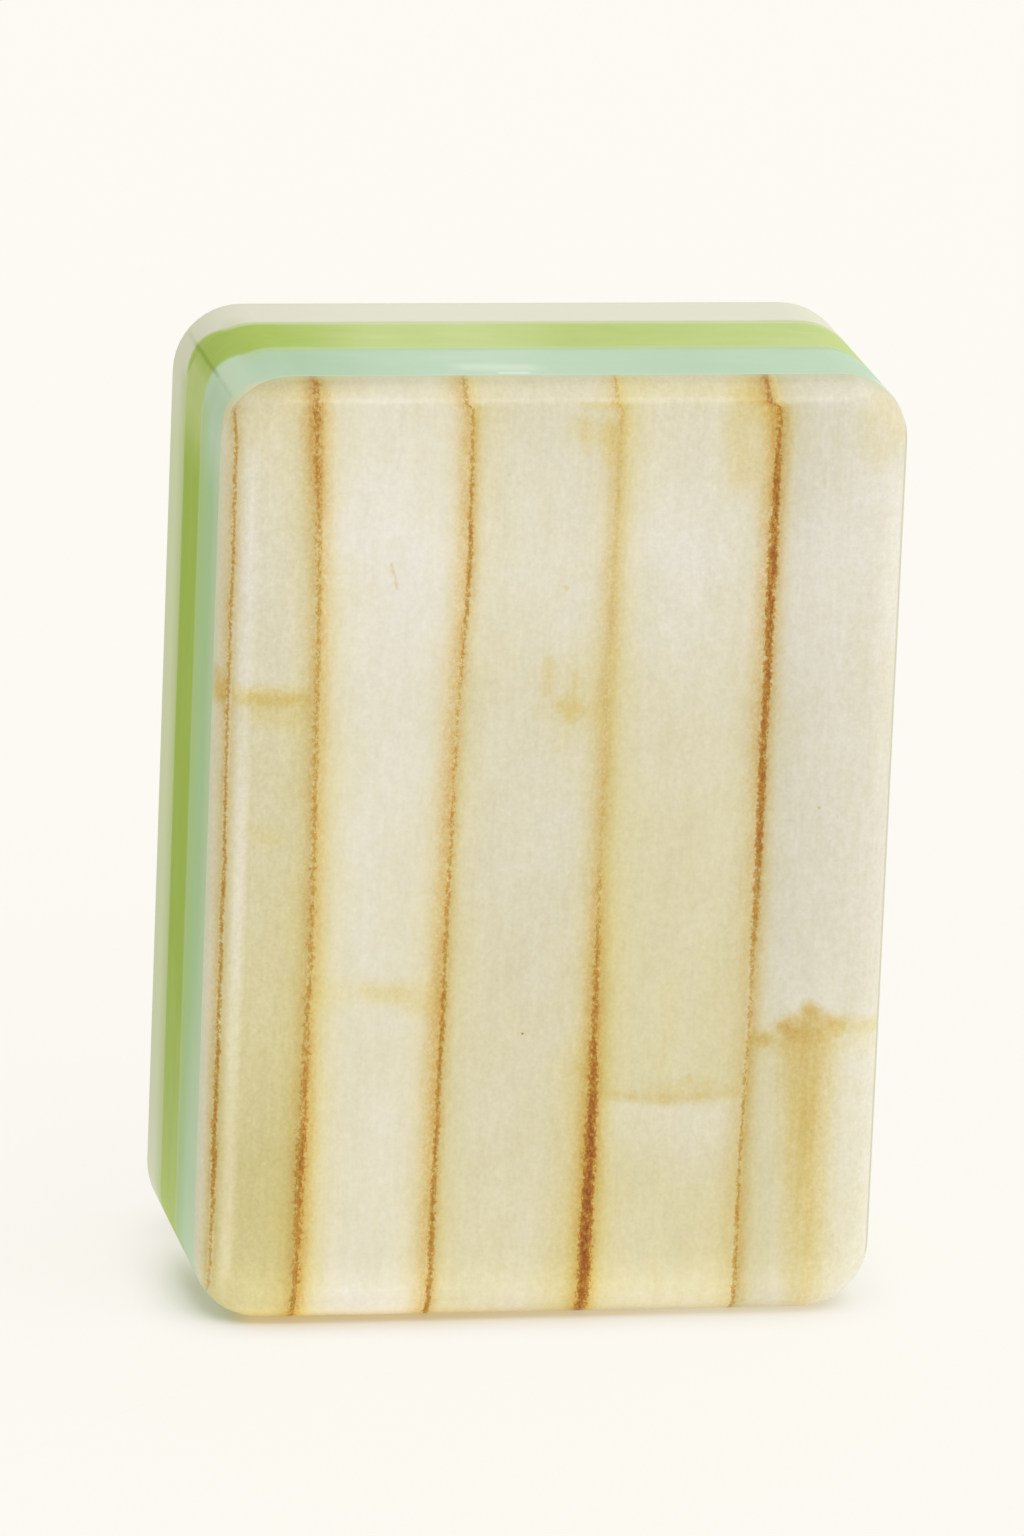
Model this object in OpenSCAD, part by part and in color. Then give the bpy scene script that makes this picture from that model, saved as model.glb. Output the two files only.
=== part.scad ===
// Mahjong tile with a strip-built back, in millimetres.
// Four bonded layers make the block: an engraved playing slab, a lime layer, an aqua layer
// and a thin back plate of slats that stand side by side with stained glue lines between them.
// The tile stands on its foot end. The back looks along -Y and the playing face along +Y.
// The origin is the middle of the block, on the surface that the foot end stands on.

/* [Body] */
// Width of the block, across the slats
body_w = 22; // [20:0.5:26]
// Height of the block, along the slats
body_h = 30.9; // [27:0.1:36]
// Thickness of the block, from the back to the playing face
body_t = 12.5; // [11.5:0.1:15]
// Radius of the four corners, seen from the back
corner_r = 2.2; // [2.1:0.1:3.4]
// Rounding of the edge round the back
back_edge_r = 1.1; // [0.5:0.1:1.5]
// Rounding of the edge round the playing face
face_edge_r = 2; // [1:0.1:2]

/* [Layers] */
// Thickness of the back plate, which the slats and glue lines share
slat_t = 0.9; // [0.5:0.1:1.6]
// Thickness of the aqua layer
aqua_t = 3.6; // [2:0.1:5]
// Thickness of the lime layer, behind which the playing slab takes what is left
lime_t = 3.5; // [2:0.1:5]

/* [Back plate] */
// Width of a glue line between two slats
glue_w = 0.16; // [0.08:0.02:0.3]
// Width of the sliver of slat on the rounded left edge, up to its glue line
edge_slat_w = 0.36; // [0.3:0.02:0.5]

/* [Medallion] */
// Depth of the engraving under the playing face
engrave_depth = 0.5; // [0.3:0.05:0.8]
// How far the paint lies under the playing face
paint_recess = 0.15; // [0.05:0.05:0.2]
// How far each wall of a cut leans outwards over the depth of the engraving
wall_lean_w = 0.12; // [0.04:0.02:0.16]
// Width of the plain land left between two neighbouring rings of the design
land_w = 0.3; // [0.2:0.05:0.35]
// Diameter of the round middle cut at its bottom
eye_d = 0.9; // [0.6:0.05:1.2]
// Width of the fine ring round the middle at its bottom
eye_ring_w = 0.2; // [0.14:0.02:0.3]
// Number of petals in the middle flower
inner_petal_count = 8; // [6:1:9]
// Length of a flower petal at its bottom
petal_inner_l = 1.5; // [1.1:0.1:1.7]
// Width of a flower petal at its bottom
petal_inner_w = 0.75; // [0.4:0.05:0.85]
// Width of the inner ring at its bottom
ring_inner_w = 0.4; // [0.25:0.05:0.6]
// Number of long petals in the outer garland
outer_petal_count = 16; // [12:1:18]
// Length of a long petal at its bottom
petal_outer_l = 1.9; // [1.5:0.1:2.1]
// Width of a long petal at its bottom
petal_outer_w = 0.95; // [0.5:0.05:1.1]
// Diameter of the round cuts between the long petals, at the bottom
bead_d = 0.34; // [0.2:0.02:0.4]
// Width of the outer ring at its bottom
ring_outer_w = 0.55; // [0.3:0.05:0.7]

/* [Hidden] */

$fn = 96;
// How far a cutting solid runs past what it cuts
overrun = 1;

// Planes between the layers, from the back to the playing face
back_y = -body_t / 2;
slat_y = back_y + slat_t;
aqua_y = slat_y + aqua_t;
lime_y = aqua_y + lime_t;
face_y = body_t / 2;

// Heights of the bends of the glue lines, as shares of the height of the block
bend_height_shares = [0, 0.35, 0.7, 0.93, 1];
// Places of the four long glue lines at those heights, as shares of the width from the left
glue_place_shares = [
    [0.142, 0.149, 0.146, 0.137, 0.136],
    [0.341, 0.348, 0.358, 0.361, 0.358],
    [0.569, 0.569, 0.568, 0.572, 0.570],
    [0.794, 0.796, 0.801, 0.801, 0.794]
];

// Radii of the medallion's rings at the bottom of the cuts, from the middle outwards.
// Two neighbours stand apart by the land between them and the lean of both their walls.
step_w = land_w + 2 * wall_lean_w;
eye_r = eye_d / 2;
eye_ring_r = eye_r + step_w + eye_ring_w;
petal_inner_root_r = eye_ring_r + step_w;
petal_inner_tip_r = petal_inner_root_r + petal_inner_l;
ring_inner_r = petal_inner_tip_r + step_w + ring_inner_w;
petal_outer_root_r = ring_inner_r + step_w;
petal_outer_tip_r = petal_outer_root_r + petal_outer_l;
ring_outer_r = petal_outer_tip_r + step_w + ring_outer_w;
// The beads stand where the petals are already narrow, with their edge at the petals' tips
bead_place_r = petal_outer_tip_r - bead_d / 2;
paint_t = engrave_depth - paint_recess;

// The block

// Section of the rim from the corner's centre line outwards: width along x, thickness along y
module rim_section() {
    intersection() {
        square([corner_r, body_t]);
        union() {
            translate([corner_r - back_edge_r, back_edge_r]) circle(r = back_edge_r);
            translate([corner_r - face_edge_r, body_t - face_edge_r]) circle(r = face_edge_r);
            square([corner_r - back_edge_r, body_t / 2]);
            translate([0, body_t / 2]) square([corner_r - face_edge_r, body_t / 2]);
            translate([0, back_edge_r]) square([corner_r, body_t - back_edge_r - face_edge_r]);
        }
    }
}

// Straight stretch of the rim, pushed outwards along +X and centred on its length
module rim_straight(length) {
    translate([0, 0, -length / 2]) linear_extrude(length) rim_section();
}

// Quarter of the rim round the corner at +X and +Z, about an axis along Y
module rim_corner() {
    rotate([90, 0, 0]) mirror([0, 0, 1]) rotate_extrude(angle = 90) rim_section();
}

// The whole rounded block, from the back plane to the playing face
module block() {
    straight_w = body_w - 2 * corner_r;
    straight_h = body_h - 2 * corner_r;
    translate([0, back_y, body_h / 2]) {
        translate([-straight_w / 2, 0, -straight_h / 2]) cube([straight_w, body_t, straight_h]);
        for (turn = [0, 180]) {
            rotate([0, turn, 0]) translate([straight_w / 2, 0, 0]) rim_straight(straight_h);
            rotate([0, turn + 90, 0]) translate([straight_h / 2, 0, 0]) rim_straight(straight_w);
        }
        for (side = [0, 1]) mirror([side, 0, 0]) {
            for (end = [0, 1]) mirror([0, 0, end]) {
                translate([straight_w / 2, 0, straight_h / 2]) rim_corner();
            }
        }
    }
}

// The part of the block between two planes square to Y
module layer(from_y, to_y) {
    intersection() {
        block();
        translate([-body_w / 2 - overrun, from_y, -overrun])
            cube([body_w + 2 * overrun, to_y - from_y, body_h + 2 * overrun]);
    }
}

module lime_layer() {
    color("yellowgreen") layer(aqua_y, lime_y);
}

module aqua_layer() {
    color("mediumaquamarine") layer(slat_y, aqua_y);
}

// The back plate

// Points of one side of a long glue line, from the foot up, moved sideways by shift
function glue_side(line, shift) = [
    for (k = [0 : len(bend_height_shares) - 1])
        [
            (glue_place_shares[line][k] - 0.5) * body_w + shift,
            bend_height_shares[k] * (body_h + 2 * overrun) - overrun
        ]
];

// Points of an upright line at x over the same height
function upright_side(x) = [[x, -overrun], [x, body_h + overrun]];

// The same points from the top down
function reversed(points) = [for (k = [len(points) - 1 : -1 : 0]) points[k]];

// The part of the back plate between two lines seen from the back
module plate_between(left_side, right_side) {
    intersection() {
        layer(back_y, slat_y);
        translate([0, slat_y + overrun, 0]) rotate([90, 0, 0])
            linear_extrude(slat_t + 2 * overrun) polygon(concat(left_side, reversed(right_side)));
    }
}

left_x = -body_w / 2;
edge_line_x = left_x + edge_slat_w;

module edge_slat() {
    color("wheat") plate_between(upright_side(left_x - overrun), upright_side(edge_line_x));
}

module edge_glue_line() {
    color("saddlebrown")
        plate_between(upright_side(edge_line_x), upright_side(edge_line_x + glue_w));
}

module back_slat_1() {
    color("antiquewhite")
        plate_between(upright_side(edge_line_x + glue_w), glue_side(0, -glue_w / 2));
}

// A slat between two long glue lines, or between the last one and the right edge
module back_slat(line, tone) {
    last = line == len(glue_place_shares) - 1;
    color(tone) plate_between(
        glue_side(line, glue_w / 2),
        last ? upright_side(body_w / 2 + overrun) : glue_side(line + 1, -glue_w / 2)
    );
}

module glue_line(line, tone) {
    color(tone) plate_between(glue_side(line, -glue_w / 2), glue_side(line, glue_w / 2));
}

// The medallion, engraved from the playing face

// Puts a design drawn in its own plane on the playing face, with +Z pointing into the slab.
// The design's level zero is the bottom of the cuts.
module on_face() {
    translate([0, face_y - engrave_depth, body_h / 2]) rotate([-90, 0, 0]) children();
}

// A ring cut with leaning walls, from its bottom up to rise
module ring_cut(outer_r, width, rise) {
    lean = wall_lean_w * rise / engrave_depth;
    rotate_extrude() polygon([
        [outer_r - width, 0],
        [outer_r, 0],
        [outer_r + lean, rise],
        [outer_r - width - lean, rise]
    ]);
}

// A round cut with a leaning wall
module round_cut(radius, rise) {
    cylinder(r1 = radius, r2 = radius + wall_lean_w * rise / engrave_depth, h = rise);
}

// A pointed petal along +X between two radii: the common part of two leaning round cuts
module petal_cut(root_r, tip_r, width, rise) {
    length = tip_r - root_r;
    side_r = (length * length + width * width) / (4 * width);
    translate([(root_r + tip_r) / 2, 0, 0]) intersection() {
        translate([0, side_r - width / 2, 0]) round_cut(side_r, rise);
        translate([0, width / 2 - side_r, 0]) round_cut(side_r, rise);
    }
}

// Copies of a cut all round the middle
module garland(count, first_share = 0) {
    for (k = [0 : count - 1]) rotate((k + first_share) * 360 / count) children();
}

module ring_outer(rise) {
    ring_cut(ring_outer_r, ring_outer_w, rise);
}

module petals_outer(rise) {
    garland(outer_petal_count) petal_cut(petal_outer_root_r, petal_outer_tip_r, petal_outer_w, rise);
}

module beads(rise) {
    garland(outer_petal_count, 0.5) translate([bead_place_r, 0, 0]) round_cut(bead_d / 2, rise);
}

module ring_inner(rise) {
    ring_cut(ring_inner_r, ring_inner_w, rise);
}

module petals_inner(rise) {
    garland(inner_petal_count, 0.5)
        petal_cut(petal_inner_root_r, petal_inner_tip_r, petal_inner_w, rise);
}

module eye_ring(rise) {
    ring_cut(eye_ring_r, eye_ring_w, rise);
}

module eye(rise) {
    round_cut(eye_r, rise);
}

module face_slab() {
    color("ivory") difference() {
        layer(lime_y, face_y);
        on_face() {
            ring_outer(engrave_depth);
            petals_outer(engrave_depth);
            beads(engrave_depth);
            ring_inner(engrave_depth);
            petals_inner(engrave_depth);
            eye_ring(engrave_depth);
            eye(engrave_depth);
        }
    }
}

module paint(tone) {
    color(tone) on_face() children();
}

face_slab();
lime_layer();
aqua_layer();
edge_slat();
back_slat_1();
back_slat(0, "linen");  // back_slat_2
back_slat(1, "beige");  // back_slat_3
back_slat(2, "cornsilk");  // back_slat_4
back_slat(3, "seashell");  // back_slat_5
edge_glue_line();
glue_line(0, "goldenrod");  // glue_line_1
glue_line(1, "peru");  // glue_line_2
glue_line(2, "sienna");  // glue_line_3
glue_line(3, "saddlebrown");  // glue_line_4
paint("darkgreen") ring_outer(paint_t);  // ring_outer_paint
paint("navy") petals_outer(paint_t);  // petals_outer_paint
paint("firebrick") beads(paint_t);  // beads_paint
paint("darkgreen") ring_inner(paint_t);  // ring_inner_paint
paint("firebrick") petals_inner(paint_t);  // petals_inner_paint
paint("navy") eye_ring(paint_t);  // eye_ring_paint
paint("firebrick") eye(paint_t);  // eye_paint
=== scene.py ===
import math
from typing import NamedTuple

import bpy
from mathutils import Matrix, Vector


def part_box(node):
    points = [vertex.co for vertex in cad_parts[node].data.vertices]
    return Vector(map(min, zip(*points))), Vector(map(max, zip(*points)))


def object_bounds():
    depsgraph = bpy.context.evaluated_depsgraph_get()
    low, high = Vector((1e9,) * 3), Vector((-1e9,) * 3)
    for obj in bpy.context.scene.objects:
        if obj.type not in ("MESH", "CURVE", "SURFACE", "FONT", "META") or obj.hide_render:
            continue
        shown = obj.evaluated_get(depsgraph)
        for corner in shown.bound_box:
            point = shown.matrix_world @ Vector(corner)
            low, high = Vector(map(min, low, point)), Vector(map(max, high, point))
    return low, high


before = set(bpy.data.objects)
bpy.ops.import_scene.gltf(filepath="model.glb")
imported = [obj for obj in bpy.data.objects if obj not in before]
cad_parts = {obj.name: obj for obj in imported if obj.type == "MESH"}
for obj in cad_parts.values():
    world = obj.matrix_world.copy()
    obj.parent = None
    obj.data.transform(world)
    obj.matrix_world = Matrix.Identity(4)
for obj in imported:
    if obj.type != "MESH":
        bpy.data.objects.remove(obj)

MM = 0.001
CAD_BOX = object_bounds()

# The block's planes, in millimetres, read from the imported model
LOW, HIGH = (corner / MM for corner in CAD_BOX)
BODY_W = HIGH.x - LOW.x
BODY_H = HIGH.z - LOW.z
SIDE_X = HIGH.x
FACE_Y = HIGH.y
SLAT_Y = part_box("aqua_layer")[0].y / MM
AQUA_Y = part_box("lime_layer")[0].y / MM
LIME_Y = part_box("face_slab")[0].y / MM
CORNER_R = 2.2

# The photograph is 1024 by 1536 pixels; the camera stands where its outlines put it
PHOTO_H = 1536
CAMERA_AZIMUTH = -10.964
CAMERA_ELEVATION = 15.296
CAMERA_ROLL = 2.323
CAMERA_DISTANCE = 369.92
CAMERA_TARGET = Vector((-0.261, 0, 16.613))
FOCAL_PIXELS = 11513.8
SENSOR_H = 36


def place_camera():
    """A long lens from the back, a little to the left and above, rolled as the photograph is."""
    azimuth, elevation, roll = (
        math.radians(angle) for angle in (CAMERA_AZIMUTH, CAMERA_ELEVATION, CAMERA_ROLL)
    )
    backwards = Vector((
        math.sin(azimuth) * math.cos(elevation),
        -math.cos(azimuth) * math.cos(elevation),
        math.sin(elevation),
    ))
    level = (-backwards).cross(Vector((0, 0, 1))).normalized()
    upright = level.cross(-backwards)
    right = level * math.cos(roll) + upright * math.sin(roll)
    up = upright * math.cos(roll) - level * math.sin(roll)
    data = bpy.data.cameras.new("camera")
    data.sensor_fit = "VERTICAL"
    data.sensor_height = SENSOR_H
    data.lens = SENSOR_H * FOCAL_PIXELS / PHOTO_H
    data.clip_start = 0.02
    data.clip_end = 20
    camera = bpy.data.objects.new("camera", data)
    turn = Matrix((right, up, backwards)).transposed().to_4x4()
    place = (CAMERA_TARGET + backwards * CAMERA_DISTANCE) * MM
    camera.matrix_world = Matrix.Translation(place) @ turn
    bpy.context.scene.collection.objects.link(camera)
    bpy.context.scene.camera = camera


place_camera()


def rgb(red, green, blue):
    """A colour given as it looks on a screen, 0 to 255, as the linear values that a shader takes."""
    def linear(value):
        share = value / 255
        return share / 12.92 if share <= 0.04045 else ((share + 0.055) / 1.055) ** 2.4
    return (linear(red), linear(green), linear(blue), 1)


class Graph:
    """Writes shader nodes as formulas: each method adds a node and gives back its output."""

    def __init__(self, tree):
        self.tree = tree

    def node(self, kind, **settings):
        made = self.tree.nodes.new(kind)
        for name, value in settings.items():
            setattr(made, name, value)
        return made

    def feed(self, socket, value):
        if isinstance(value, bpy.types.NodeSocket):
            self.tree.links.new(value, socket)
        else:
            socket.default_value = value

    def math(self, operation, *values):
        made = self.node("ShaderNodeMath", operation=operation)
        for socket, value in zip(made.inputs, values):
            self.feed(socket, value)
        return made.outputs[0]

    def add(self, first, *others):
        for other in others:
            first = self.math("ADD", first, other)
        return first

    def less(self, first, second):
        return self.math("SUBTRACT", first, second)

    def times(self, first, *others):
        for other in others:
            first = self.math("MULTIPLY", first, other)
        return first

    def clamped(self, value):
        return self.math("MINIMUM", self.math("MAXIMUM", value, 0), 1)

    def fade(self, value, zero_at, one_at):
        """0 where value is at zero_at, 1 where it is at one_at, smooth between them. The pairs of
        places that are named further down are such a zero_at and one_at, or the ends of a span."""
        made = self.node("ShaderNodeMapRange", interpolation_type="SMOOTHSTEP")
        for name, number in (("Value", value), ("From Min", zero_at), ("From Max", one_at)):
            self.feed(made.inputs[name], number)
        return made.outputs["Result"]

    def span(self, value, low, high, soft):
        """1 between low and high, 0 outside, over a soft edge."""
        return self.times(
            self.fade(value, low - soft, low + soft), self.fade(value, high + soft, high - soft)
        )

    def curve(self, value, places, heights):
        """A line through the heights at those places, from 0 to 1 along value."""
        top = max(max(heights), 1e-6)
        made = self.node("ShaderNodeFloatCurve")
        line = made.mapping.curves[0]
        for _ in range(len(places) - 2):
            line.points.new(0.5, 0.5)
        for point, place, height in zip(line.points, places, heights):
            point.location = (place, height / top)
            point.handle_type = "VECTOR"
        made.mapping.update()
        self.feed(made.inputs["Value"], value)
        return self.times(made.outputs["Value"], top)

    def mixed(self, share, first, second):
        return self.add(first, self.times(share, self.less(second, first)))

    def vector(self, operation, first, second=None):
        """A vector sum. LENGTH and DOT_PRODUCT give one number."""
        made = self.node("ShaderNodeVectorMath", operation=operation)
        self.feed(made.inputs[0], first)
        if second is not None:
            self.feed(made.inputs["Scale" if operation == "SCALE" else 1], second)
        return made.outputs["Value" if operation in ("LENGTH", "DOT_PRODUCT") else "Vector"]

    def stretched(self, where, x, y, z):
        return self.vector("MULTIPLY", where, (x, y, z))

    def scaled(self, colour, factor):
        return self.vector("SCALE", colour, factor)

    def noise(self, where, scale=1, detail=2, roughness=0.5, seed=0):
        """Cloudy noise about zero, from about -0.5 to 0.5. A seed moves it along a fourth axis."""
        made = self.node("ShaderNodeTexNoise", noise_dimensions="4D")
        self.feed(made.inputs["Vector"], where)
        made.inputs["W"].default_value = seed
        made.inputs["Scale"].default_value = scale
        made.inputs["Detail"].default_value = detail
        made.inputs["Roughness"].default_value = roughness
        return self.less(made.outputs["Fac"], 0.5)

    def mix(self, share, first, second):
        made = self.node("ShaderNodeMix", data_type="RGBA")
        for number, value in ((0, share), (6, first), (7, second)):
            self.feed(made.inputs[number], value)
        return made.outputs[2]

    def combine(self, x, y, z):
        made = self.node("ShaderNodeCombineXYZ")
        for socket, value in zip(made.inputs, (x, y, z)):
            self.feed(socket, value)
        return made.outputs[0]

    def place(self):
        """The point on the object in millimetres, whole and as its x, y and z."""
        where = self.node("ShaderNodeTexCoord").outputs["Object"]
        whole = self.stretched(where, 1 / MM, 1 / MM, 1 / MM)
        parts = self.node("ShaderNodeSeparateXYZ")
        self.feed(parts.inputs[0], whole)
        return whole, *parts.outputs


# Stains

# What one measure of each lets through of red, green and blue: glue that soaked in and browned,
# the dark core of the line itself, the thin film of glue beside it, and the bamboo's own yellowing
AMBER_PASS = (0.874, 0.698, 0.427)
CORE_PASS = (0.848, 0.7, 0.405)
FILM_PASS = (0.995, 0.955, 0.68)
AGE_PASS = (0.89, 0.85, 0.6)


def filtered(graph, colour, passes, amount):
    """A colour seen through that many measures of a stain."""
    passed = [graph.math("POWER", share, amount) for share in passes]
    return graph.vector("MULTIPLY", colour, graph.combine(*passed))


def stroke(graph, flat, start, end, width):
    """A soft stroke between two points of a flat drawing, 1 along its middle."""
    start = Vector((*start, 0))
    run = Vector((*end, 0)) - start
    off = graph.vector("SUBTRACT", flat, start)
    share = graph.clamped(graph.vector("DOT_PRODUCT", off, run / run.length_squared))
    off = graph.vector("SUBTRACT", off, graph.scaled(run, share))
    return graph.fade(graph.vector("LENGTH", off), width, 0)


def strokes(graph, flat, rows):
    """Sums of several strokes, one sum for each of the amounts that end their rows."""
    sums = None
    for start, end, width, *amounts in rows:
        shape = stroke(graph, flat, start, end, width)
        parts = [graph.times(shape, amount) for amount in amounts]
        sums = [graph.add(*pair) for pair in zip(sums, parts)] if sums else parts
    return sums


def wavering(graph, whole, across, up):
    """A flat drawing plane whose lines waver a little and have grainy edges."""
    def wobble(seed):
        slow = graph.noise(whole, scale=1.1, detail=2, seed=seed)
        fine = graph.noise(whole, scale=6, detail=2, roughness=0.6, seed=seed + 1)
        return graph.add(graph.times(slow, 0.3), graph.times(fine, 0.25))
    return graph.combine(graph.add(across, wobble(51)), graph.add(up, wobble(55)), 0)


# The tables by height run from this far under the foot to this far over the head end
OVERRUN = 1


def height_share(graph, z):
    """Where a height lies in the tables, from 0 to 1."""
    return graph.math("DIVIDE", graph.add(z, OVERRUN), BODY_H + 2 * OVERRUN)


# The glue lines of the back, as in the part: places as shares of the width, at shares of the height
BEND_SHARES = (0, 0.35, 0.7, 0.93, 1)
GLUE_PLACE_SHARES = (
    (0.142, 0.149, 0.146, 0.137, 0.136),
    (0.341, 0.348, 0.358, 0.361, 0.358),
    (0.569, 0.569, 0.568, 0.572, 0.570),
    (0.794, 0.796, 0.801, 0.801, 0.794),
)
EDGE_LINE_X = sum(corner.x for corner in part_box("edge_glue_line")) / 2 / MM
# Heights, as shares, at which the strength of a line is given
STAIN_SHARES = (0, 0.1, 0.2, 0.35, 0.5, 0.65, 0.8, 0.93, 1)
# Each line's dark core by height and its half width. The first is the edge line.
GLUE_CORES = (
    (0.0, 0.7, 2.2, 1.4, 1.25, 0.85, 0.85, 0.8, 0.0),
    (0.8, 0.9, 1.3, 0.5, 0.45, 0.2, 0.3, 0.45, 1.2),
    (1.4, 1.3, 1.0, 1.0, 0.5, 0.2, 1.0, 0.35, 0.7),
    (2.6, 3.2, 2.6, 1.0, 0.1, 0.05, 0.05, 0.1, 0.3),
    (0.8, 0.85, 0.5, 0.3, 2.1, 2.2, 2.9, 0.9, 1.8),
)
CORE_HALF_WIDTHS = (0.045, 0.115, 0.075, 0.09, 0.07)
# How far each core strays from the glue line by height, in millimetres
CORE_STRAYS = (
    (0, 0, 0.02, 0.02, 0.02, -0.03, -0.02, -0.04, -0.04),
    (0, 0.02, 0, 0, 0.03, -0.02, -0.03, -0.12, -0.1),
    (0, -0.02, -0.04, -0.04, -0.1, -0.12, 0.02, -0.1, -0.05),
    (0, 0.01, 0.05, 0.03, -0.03, 0, 0.02, -0.03, 0),
    (0, -0.02, -0.04, 0.04, 0.05, 0, 0, 0.04, 0),
)
# The soaked band on the left and right of each core: its strength by height, and its reach
HALOS = (
    (
        ((0.3, 0.6, 0.8, 0.7, 0.75, 0.8, 0.8, 0.5, 0.2), 0.2),
        ((0.1, 0.3, 0.4, 0.3, 0.5, 0.7, 0.8, 0.6, 0.2), 0.16),
    ),
    (
        ((0.9, 1.0, 1.0, 0.9, 0.9, 1.0, 0.85, 2.0, 1.2), 0.36),
        ((1.3, 1.6, 1.7, 1.0, 0.9, 1.0, 1.1, 1.8, 0.8), 0.34),
    ),
    (
        ((1.1, 1.3, 1.4, 1.6, 1.3, 1.2, 1.2, 1.4, 0.7), 0.42),
        ((1.0, 1.0, 1.0, 1.0, 0.8, 0.9, 1.1, 1.0, 0.5), 0.24),
    ),
    (
        ((1.5, 2.0, 2.1, 1.6, 0.8, 0.75, 0.7, 0.65, 0.4), 0.36),
        ((1.4, 1.8, 2.2, 1.3, 0.75, 0.7, 0.7, 0.6, 0.4), 0.32),
    ),
    (
        ((0.3, 0.5, 0.5, 0.5, 1.0, 1.4, 1.4, 1.8, 1.0), 0.42),
        ((0.9, 1.0, 0.9, 1.0, 1.0, 1.5, 1.7, 1.6, 0.8), 0.28),
    ),
)
# The thin film beside the soaked band, in the same way
FILMS = (
    (
        ((0.4,) * len(STAIN_SHARES), 0.4),
        ((0.2,) * len(STAIN_SHARES), 0.3),
    ),
    (
        ((0.55, 0.55, 0.5, 0.5, 0.45, 0.6, 0.6, 0.3, 0.3), 0.9),
        ((1.7, 1.7, 1.65, 1.4, 1.3, 1.2, 0.85, 0.8, 0.8), 0.75),
    ),
    (
        ((0.8, 0.8, 0.8, 0.75, 0.7, 0.5, 0.75, 0.5, 0.6), 0.75),
        ((0.7, 0.7, 0.65, 0.75, 0.9, 0.45, 0.55, 0.95, 0.8), 0.8),
    ),
    (
        ((1.3, 1.3, 1.2, 1.0, 0.75, 0.65, 0.55, 0.5, 0.5), 0.6),
        ((1.3, 1.35, 1.25, 1.2, 1.0, 0.95, 0.9, 1.3, 1.1), 0.75),
    ),
    (
        ((0.3, 0.3, 0.3, 0.1, 0.0, 0.0, 0.3, 1.0, 0.8), 0.7),
        ((0.8, 0.8, 0.8, 0.9, 0.9, 0.5, 0.8, 1.1, 0.9), 0.6),
    ),
)
# Where the back rounds over at the head end, some lines step to the left
HEAD_STEP_Z = (BODY_H - 0.92, BODY_H - 0.68)
HEAD_STEPS = (0, 0, 0.2, 0.12, 0.3)
# How softly the left of a line passes into its right
LINE_SOFT = 0.08
# What the glue group gives, in order
STAINS = ("Amber", "Film", "Core")


def glue_stain(graph, number, x, z, share, grains):
    """Measures of amber, of film and of the dark core from one glue line at a point of the back."""
    wander, blotch, patch, ragged, grit = grains
    if number == 0:
        line_x = EDGE_LINE_X
    else:
        places = graph.curve(share, BEND_SHARES, GLUE_PLACE_SHARES[number - 1])
        line_x = graph.times(graph.less(places, 0.5), BODY_W)
    if HEAD_STEPS[number]:
        step = graph.fade(z, *HEAD_STEP_Z)
        line_x = graph.less(line_x, graph.times(step, HEAD_STEPS[number]))
    # A curve's heights can't be below 0, so the strays are lifted by 1 and lowered again
    lifted = graph.curve(share, STAIN_SHARES, [stray + 1 for stray in CORE_STRAYS[number]])
    off = graph.less(x, graph.add(line_x, wander, graph.less(lifted, 1)))
    side = graph.fade(off, -LINE_SOFT, LINE_SOFT)
    reach = graph.math("ABSOLUTE", off)
    core_here = graph.curve(share, STAIN_SHARES, GLUE_CORES[number])
    # A stronger core is a wider one, and a weak one breaks up into grains
    width = graph.times(graph.add(graph.times(core_here, 0.3), 0.6), CORE_HALF_WIDTHS[number])
    rough = graph.add(reach, graph.times(ragged, 2.6 * CORE_HALF_WIDTHS[number]))
    near = graph.fade(graph.math("DIVIDE", rough, width), 2.6, 0.1)
    dense = graph.times(near, graph.add(0.22, graph.times(core_here, 0.1)))
    core = graph.times(
        graph.fade(graph.add(grit, dense), 0.14, 0.26),
        near,
        graph.add(0.5, graph.times(core_here, 0.88)),
        graph.fade(core_here, 0, 0.25),
        graph.add(1, graph.times(grit, 3.2), graph.times(patch, 1.5)),
    )

    def soaked(table, power, roughness, broken):
        """A band that falls off with distance from the line, by its own table on either side."""
        left, right = (graph.curve(share, STAIN_SHARES, strengths) for strengths, _ in table)
        left_reach, right_reach = (far for _, far in table)
        spread = graph.math("MAXIMUM", graph.add(reach, graph.times(ragged, roughness)), 0)
        full = graph.add(left_reach, graph.times(side, right_reach - left_reach))
        far = graph.math("POWER", graph.math("DIVIDE", spread, full), power)
        fall = graph.math("EXPONENT", graph.times(far, -1))
        return graph.math("MAXIMUM", graph.times(graph.mixed(side, left, right), fall, broken), 0)

    halo = soaked(
        HALOS[number], 1.6, 0.2, graph.add(1, graph.times(blotch, 1.5), graph.times(grit, 2.4))
    )
    film = soaked(FILMS[number], 1.5, 0.15, graph.add(1, graph.times(blotch, -1.2)))
    return halo, film, graph.math("MAXIMUM", core, 0)


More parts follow.
